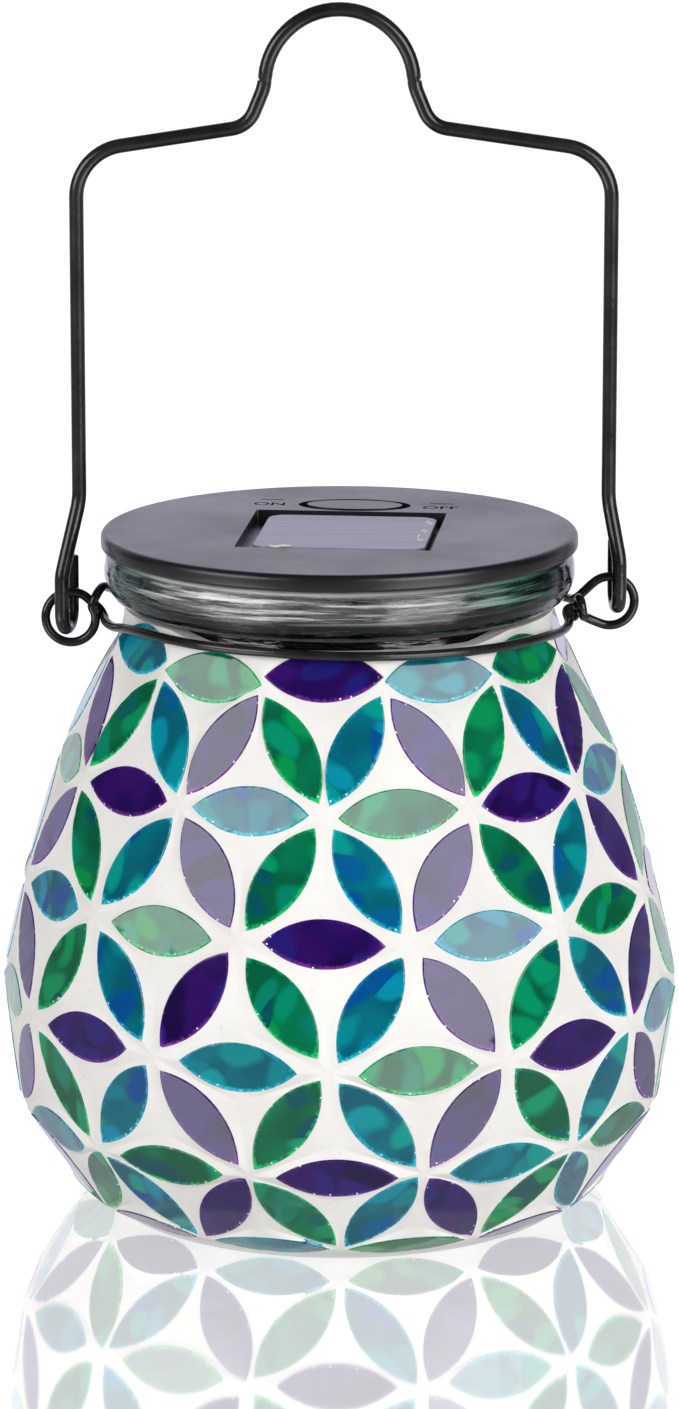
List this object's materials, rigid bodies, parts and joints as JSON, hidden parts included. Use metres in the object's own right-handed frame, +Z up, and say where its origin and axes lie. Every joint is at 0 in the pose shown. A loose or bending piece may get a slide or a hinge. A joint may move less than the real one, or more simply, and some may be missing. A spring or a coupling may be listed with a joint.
{
  "type": "mason jar lantern",
  "caption": "Clear glass jar covered in coloured glass lens tiles and grout, with a wire bail handle, wire neck collar and a lift-off lid holding a solar light.",
  "frame": {"origin": "middle of the foot, on the floor", "axes": "+Z up, front towards -Y, the wire's wrap and the longer handle hook at +X"},
  "size_m": [0.132, 0.1319, 0.2337],
  "materials": {
    "jar_glass": "clear gloss",
    "tiles_and_grout": "violet, green and teal glass tiles in off-white grout",
    "black_wire": "satin",
    "lid_plastic": "satin",
    "rocker_plastic": "satin",
    "black_plastic": "matte",
    "cell_face": "gloss",
    "panel_resin": "gloss",
    "contact_steel": "satin",
    "seal_rubber": "matte",
    "battery_wrap": "gloss",
    "board": "satin",
    "led_lens": "gloss",
    "white_plastic": "satin",
    "milky_plastic": "satin",
    "red_lead": "satin",
    "black_lead": "satin"
  },
  "bodies": {
    "jar": {"glass_jar": "jar_glass", "mosaic_shell": "tiles_and_grout", "neck_wire": "black_wire"},
    "handle": {"bail_handle": "black_wire"},
    "lid": {"lid_cap": "lid_plastic", "switch_body": "black_plastic", "solar_cell": "cell_face", "panel_window": "panel_resin", "module_housing": "black_plastic", "battery_door": "black_plastic", "door_screw_1": "contact_steel", "door_screw_2": "contact_steel", "housing_screw_1": "contact_steel", "housing_screw_2": "contact_steel", "housing_screw_3": "contact_steel", "seal_ring": "seal_rubber", "battery": "battery_wrap", "plate_contact": "contact_steel", "spring_contact": "contact_steel", "circuit_board": "board", "led": "led_lens", "led_reflector": "white_plastic", "diffuser_dome": "milky_plastic", "cell_lead_positive": "red_lead", "cell_lead_negative": "black_lead"},
    "rocker": {"rocker_cap": "rocker_plastic"}
  },
  "joints": [
    {"name": "handle_swing", "type": "hinge", "parent": "jar", "child": "handle", "pos_m": [0.00045, 0, 0.12125], "axis": [0.9996, 0, 0.0291], "range_deg": [-134, 134]},
    {"name": "lid_lift", "type": "slide", "parent": "jar", "child": "lid", "axis": [0, 0, 1], "range_m": [0, 0.06]},
    {"name": "switch_rock", "type": "hinge", "parent": "lid", "child": "rocker", "pos_m": [0.003, 0.0245, 0.1309], "axis": [0.0993, 0.9951, 0], "range_deg": [-5, 5]}
  ]
}
